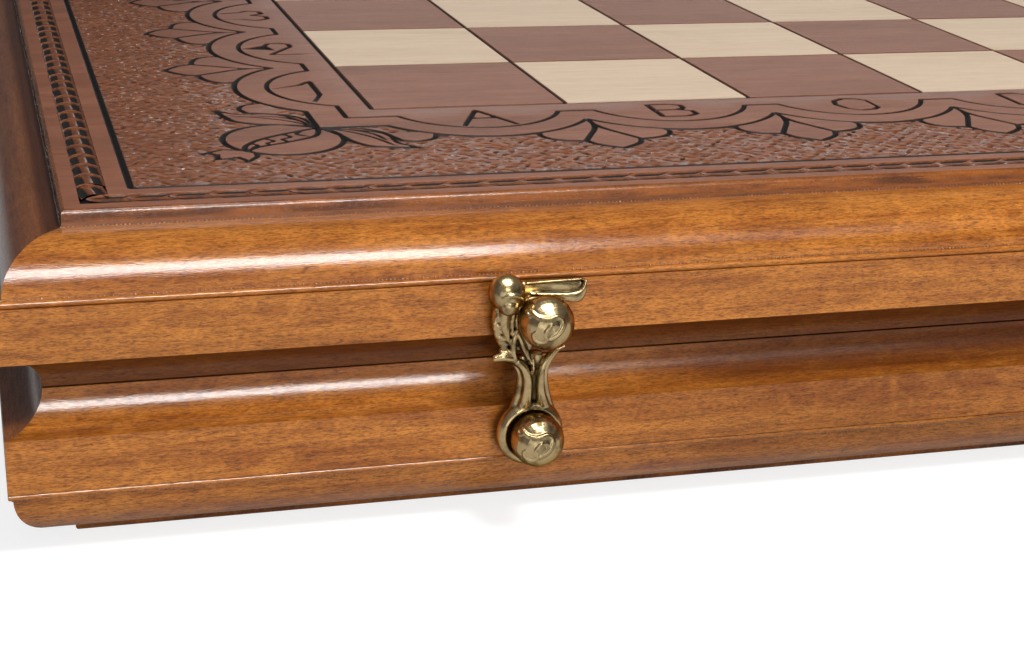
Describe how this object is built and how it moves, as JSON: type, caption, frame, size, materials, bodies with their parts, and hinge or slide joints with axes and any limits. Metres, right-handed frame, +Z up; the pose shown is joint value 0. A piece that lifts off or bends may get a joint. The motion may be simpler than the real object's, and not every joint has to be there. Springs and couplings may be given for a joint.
{
  "type": "folding chess box",
  "caption": "Folding wooden chess and backgammon box: two carved, moulded trays hinged along the back and held shut by cast hook latches that swing on ball posts.",
  "frame": {"origin": "middle of the lower tray's playing face, on which the closed box rests", "axes": "+X along the hinge, +Y from the latches to the hinge, +Z up"},
  "size_m": [0.585, 0.3085, 0.07],
  "materials": {
    "moulding_wood": "gloss lacquer over warm brown walnut",
    "carved_walnut": "satin oiled walnut, carved",
    "panel_wood": "satin lacquer",
    "maple": "satin maple veneer",
    "dark_walnut": "satin walnut veneer",
    "field_veneer": "satin veneer",
    "hinge_brass": "satin",
    "antique_brass": "antiqued cast brass with dark recesses"
  },
  "bodies": {
    "base": {"base_front_rail": "moulding_wood", "base_left_rail": "moulding_wood", "base_right_rail": "moulding_wood", "base_back_rail": "moulding_wood", "base_panel_board": "panel_wood", "base_carved_plate": "carved_walnut", "base_light_squares": "maple", "base_dark_squares": "dark_walnut", "base_playing_field": "field_veneer", "base_light_points": "maple", "base_dark_points": "dark_walnut", "left_hinge_base_leaf": "hinge_brass", "left_hinge_pin": "hinge_brass", "right_hinge_base_leaf": "hinge_brass", "right_hinge_pin": "hinge_brass", "base_hinge_screws": "hinge_brass", "left_pivot_post": "antique_brass", "right_pivot_post": "antique_brass"},
    "lid": {"lid_front_rail": "moulding_wood", "lid_left_rail": "moulding_wood", "lid_right_rail": "moulding_wood", "lid_back_rail": "moulding_wood", "lid_panel_board": "panel_wood", "lid_carved_plate": "carved_walnut", "lid_light_squares": "maple", "lid_dark_squares": "dark_walnut", "lid_playing_field": "field_veneer", "lid_light_points": "maple", "lid_dark_points": "dark_walnut", "left_hinge_lid_leaf": "hinge_brass", "right_hinge_lid_leaf": "hinge_brass", "lid_hinge_screws": "hinge_brass", "left_catch_post": "antique_brass", "right_catch_post": "antique_brass"},
    "left_latch": {"left_latch_arm": "antique_brass"},
    "right_latch": {"right_latch_arm": "antique_brass"}
  },
  "joints": [
    {"name": "lid_hinge", "type": "hinge", "parent": "base", "child": "lid", "pos_m": [0, 0.1454, 0.035], "axis": [-1, 0, 0], "range_deg": [0, 180]},
    {"name": "left_latch_pivot", "type": "hinge", "parent": "base", "child": "left_latch", "pos_m": [-0.185, -0.148, 0.022], "axis": [0, -1, 0], "range_deg": [0, 95]},
    {"name": "right_latch_pivot", "type": "hinge", "parent": "base", "child": "right_latch", "pos_m": [0.185, -0.148, 0.022], "axis": [0, -1, 0], "range_deg": [0, 95]}
  ]
}
